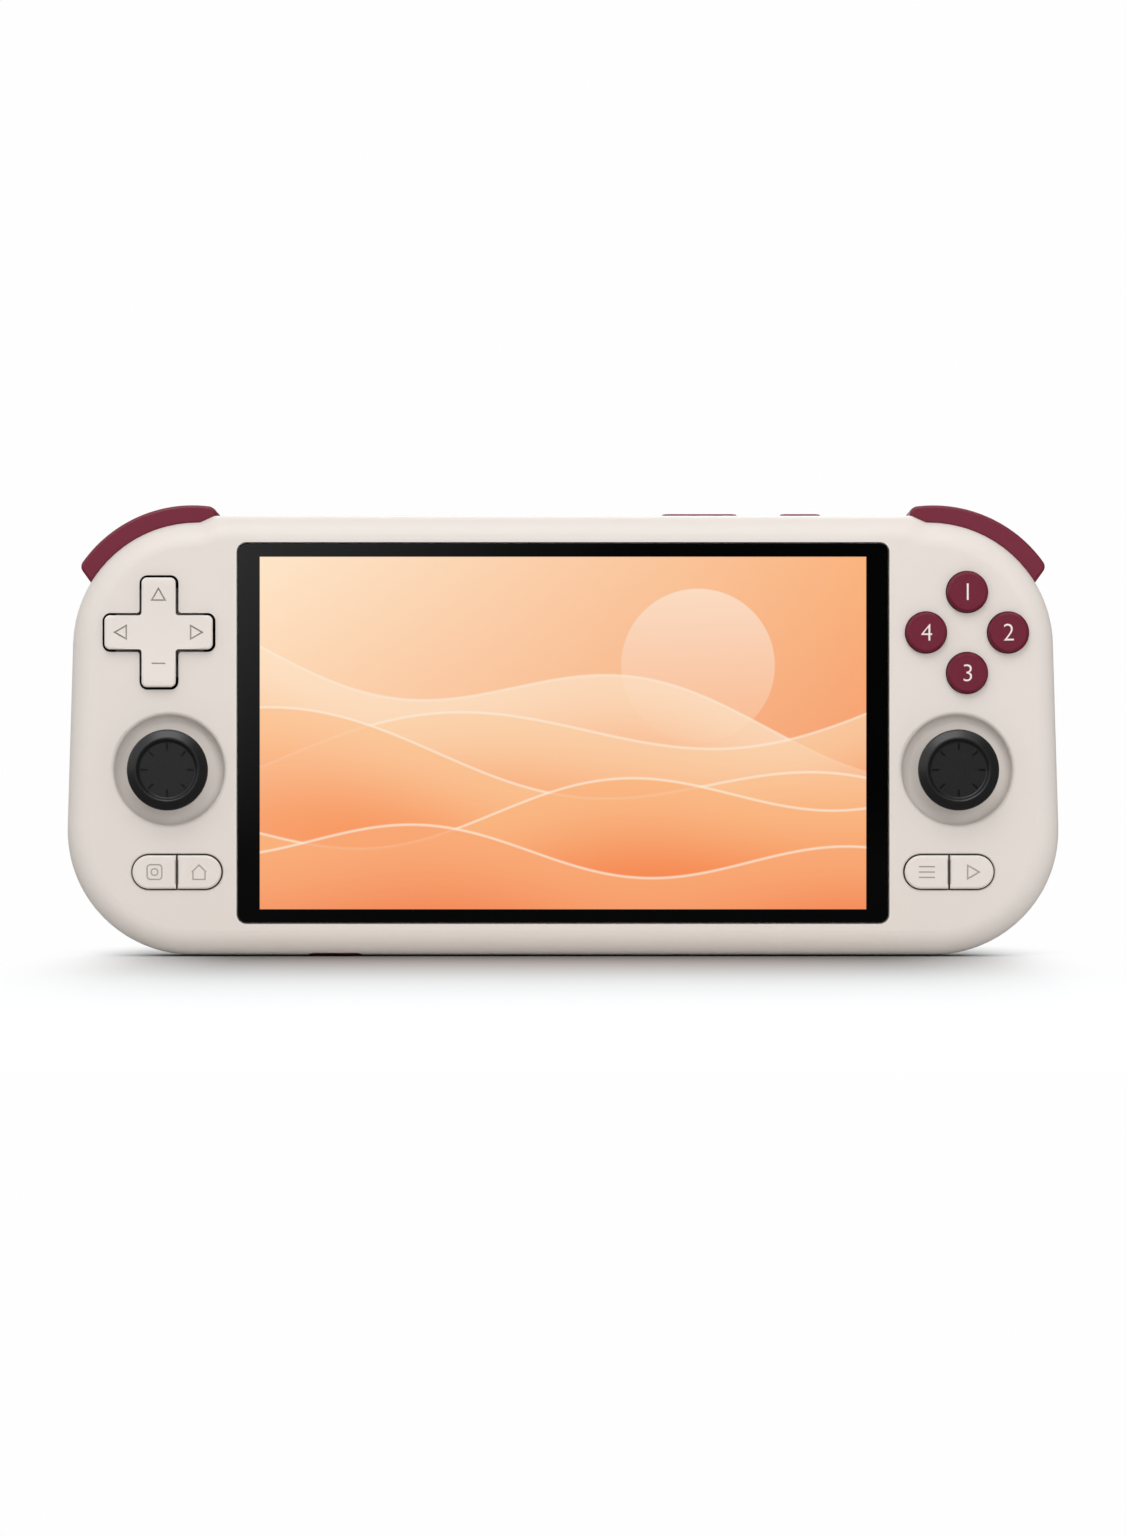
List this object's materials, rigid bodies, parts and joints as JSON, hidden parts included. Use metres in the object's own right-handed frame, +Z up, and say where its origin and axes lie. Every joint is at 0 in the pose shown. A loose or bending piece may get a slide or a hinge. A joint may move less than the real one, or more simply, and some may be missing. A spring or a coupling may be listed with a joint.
{
  "type": "handheld game console",
  "caption": "Handheld game console with a wide screen, cross pad, tilting thumb sticks, face and shoulder buttons, rear triggers, side keys and a card tray.",
  "frame": {"origin": "middle of the bottom edge, on the plane where the front and rear shells part", "axes": "+X to the player's right, +Z up the upright screen, -Y out of the screen towards the player"},
  "size_m": [0.199, 0.0292, 0.0904],
  "materials": {
    "cream_plastic": "fine matte texture",
    "maroon_plastic": "satin",
    "black_rubber": "matte soft touch",
    "screen": "polished black border, opaque because the picture is drawn on it",
    "panel": "matte",
    "frame_metal": "satin",
    "steel": "satin",
    "board": "solder mask",
    "battery_wrap": "matte wrap",
    "copper": "satin copper",
    "grey_silicone": "translucent matte",
    "black_plastic": "matte",
    "white_plastic": "smooth",
    "flex": "amber film"
  },
  "bodies": {
    "console": {"battery": "battery_wrap", "board_screws": "steel", "card_socket": "steel", "case_screws": "steel", "display_flex": "flex", "display_panel": "panel", "dpad_membrane": "grey_silicone", "face_button_membrane": "grey_silicone", "front_shell": "cream_plastic", "headphone_jack": "black_plastic", "heat_spreader": "copper", "left_board_flex": "flex", "left_control_board": "board", "left_shoulder_bracket": "black_plastic", "left_shoulder_pin": "steel", "left_speaker": "black_plastic", "left_stick_housing": "steel", "left_trigger_spring": "steel", "main_board": "board", "main_board_shield": "steel", "mid_frame": "frame_metal", "rear_shell": "cream_plastic", "right_board_flex": "flex", "right_control_board": "board", "right_shoulder_bracket": "black_plastic", "right_shoulder_pin": "steel", "right_speaker": "black_plastic", "right_stick_housing": "steel", "right_trigger_spring": "steel", "screen_glass": "screen", "side_key_board": "board", "small_button_pads": "grey_silicone", "tact_switches": "black_plastic", "usb_c_port": "steel", "vibration_motor": "steel"},
    "face_button_top": {"face_button_top": "maroon_plastic"},
    "face_button_right": {"face_button_right": "maroon_plastic"},
    "face_button_bottom": {"face_button_bottom": "maroon_plastic"},
    "face_button_left": {"face_button_left": "maroon_plastic"},
    "capture_button": {"capture_button": "cream_plastic"},
    "home_button": {"home_button": "cream_plastic"},
    "menu_button": {"menu_button": "cream_plastic"},
    "start_button": {"start_button": "cream_plastic"},
    "dpad_ball": {"dpad_pivot_ball": "white_plastic"},
    "dpad": {"dpad": "cream_plastic"},
    "left_yoke": {"left_stick_yoke": "black_plastic"},
    "left_rocker": {"left_stick_rocker": "black_plastic"},
    "left_stick": {"left_stick_stem": "white_plastic", "left_stick_cap": "black_rubber"},
    "left_bumper": {"left_bumper": "maroon_plastic"},
    "left_trigger": {"left_trigger": "maroon_plastic"},
    "right_yoke": {"right_stick_yoke": "black_plastic"},
    "right_rocker": {"right_stick_rocker": "black_plastic"},
    "right_stick": {"right_stick_stem": "white_plastic", "right_stick_cap": "black_rubber"},
    "right_bumper": {"right_bumper": "maroon_plastic"},
    "right_trigger": {"right_trigger": "maroon_plastic"},
    "volume_rocker": {"volume_rocker": "maroon_plastic"},
    "power_button": {"power_button": "maroon_plastic"},
    "card_tray": {"card_tray": "maroon_plastic"}
  },
  "joints": [
    {"name": "face_button_top_press", "type": "slide", "parent": "console", "child": "face_button_top", "axis": [0, 1, 0], "range_m": [0, 0.0009], "stiffness_N_per_m": 600, "deforming": ["face_button_membrane"]},
    {"name": "face_button_right_press", "type": "slide", "parent": "console", "child": "face_button_right", "axis": [0, 1, 0], "range_m": [0, 0.0009], "stiffness_N_per_m": 600},
    {"name": "face_button_bottom_press", "type": "slide", "parent": "console", "child": "face_button_bottom", "axis": [0, 1, 0], "range_m": [0, 0.0009], "stiffness_N_per_m": 600},
    {"name": "face_button_left_press", "type": "slide", "parent": "console", "child": "face_button_left", "axis": [0, 1, 0], "range_m": [0, 0.0009], "stiffness_N_per_m": 600},
    {"name": "capture_button_press", "type": "slide", "parent": "console", "child": "capture_button", "axis": [0, 1, 0], "range_m": [0, 0.0006], "stiffness_N_per_m": 700, "deforming": ["small_button_pads"]},
    {"name": "home_button_press", "type": "slide", "parent": "console", "child": "home_button", "axis": [0, 1, 0], "range_m": [0, 0.0006], "stiffness_N_per_m": 700},
    {"name": "menu_button_press", "type": "slide", "parent": "console", "child": "menu_button", "axis": [0, 1, 0], "range_m": [0, 0.0006], "stiffness_N_per_m": 700},
    {"name": "start_button_press", "type": "slide", "parent": "console", "child": "start_button", "axis": [0, 1, 0], "range_m": [0, 0.0006], "stiffness_N_per_m": 700},
    {"name": "dpad_tilt_up_down", "type": "hinge", "parent": "console", "child": "dpad_ball", "pos_m": [-0.0808, -0.005, 0.06461], "axis": [1, 0, 0], "range_deg": [-4, 4], "stiffness_Nm_per_rad": 0.5, "deforming": ["dpad_membrane"]},
    {"name": "dpad_tilt_left_right", "type": "hinge", "parent": "dpad_ball", "child": "dpad", "pos_m": [-0.0808, -0.005, 0.06461], "axis": [0, 0, 1], "range_deg": [-4, 4], "stiffness_Nm_per_rad": 0.5},
    {"name": "left_stick_tilt_up_down", "type": "hinge", "parent": "console", "child": "left_yoke", "pos_m": [-0.0788, -0.002, 0.03711], "axis": [1, 0, 0], "range_deg": [-13, 13], "stiffness_Nm_per_rad": 0.06},
    {"name": "left_stick_tilt_left_right", "type": "hinge", "parent": "left_yoke", "child": "left_rocker", "pos_m": [-0.0788, -0.002, 0.03711], "axis": [0, 0, 1], "range_deg": [-13, 13], "stiffness_Nm_per_rad": 0.06},
    {"name": "left_stick_click", "type": "slide", "parent": "left_rocker", "child": "left_stick", "axis": [0, 1, 0], "range_m": [0, 0.0004], "stiffness_N_per_m": 3000},
    {"name": "right_stick_tilt_up_down", "type": "hinge", "parent": "console", "child": "right_yoke", "pos_m": [0.0788, -0.002, 0.03711], "axis": [1, 0, 0], "range_deg": [-13, 13], "stiffness_Nm_per_rad": 0.06},
    {"name": "right_stick_tilt_left_right", "type": "hinge", "parent": "right_yoke", "child": "right_rocker", "pos_m": [0.0788, -0.002, 0.03711], "axis": [0, 0, 1], "range_deg": [-13, 13], "stiffness_Nm_per_rad": 0.06},
    {"name": "right_stick_click", "type": "slide", "parent": "right_rocker", "child": "right_stick", "axis": [0, 1, 0], "range_m": [0, 0.0004], "stiffness_N_per_m": 3000},
    {"name": "left_bumper_press", "type": "hinge", "parent": "console", "child": "left_bumper", "pos_m": [-0.07495, -0.0014, 0.08123], "axis": [0, -1, 0], "range_deg": [0, 2.5], "stiffness_Nm_per_rad": 0.6},
    {"name": "left_trigger_press", "type": "hinge", "parent": "console", "child": "left_trigger", "pos_m": [-0.07495, 0.0048, 0.08123], "axis": [0, -1, 0], "range_deg": [0, 6], "stiffness_Nm_per_rad": 0.25, "deforming": ["left_trigger_spring"]},
    {"name": "right_bumper_press", "type": "hinge", "parent": "console", "child": "right_bumper", "pos_m": [0.07495, -0.0014, 0.08123], "axis": [0, 1, 0], "range_deg": [0, 2.5], "stiffness_Nm_per_rad": 0.6},
    {"name": "right_trigger_press", "type": "hinge", "parent": "console", "child": "right_trigger", "pos_m": [0.07495, 0.0048, 0.08123], "axis": [0, 1, 0], "range_deg": [0, 6], "stiffness_Nm_per_rad": 0.25, "deforming": ["right_trigger_spring"]},
    {"name": "volume_rocker_tilt", "type": "hinge", "parent": "console", "child": "volume_rocker", "pos_m": [0.0275, 0, 0.0861], "axis": [0, 1, 0], "range_deg": [-1.5, 1.5], "stiffness_Nm_per_rad": 0.4},
    {"name": "power_button_press", "type": "slide", "parent": "console", "child": "power_button", "axis": [0, 0, -1], "range_m": [0, 0.00035], "stiffness_N_per_m": 1500},
    {"name": "card_tray_pull", "type": "slide", "parent": "console", "child": "card_tray", "axis": [0, 0, -1], "range_m": [0, 0.017]}
  ]
}
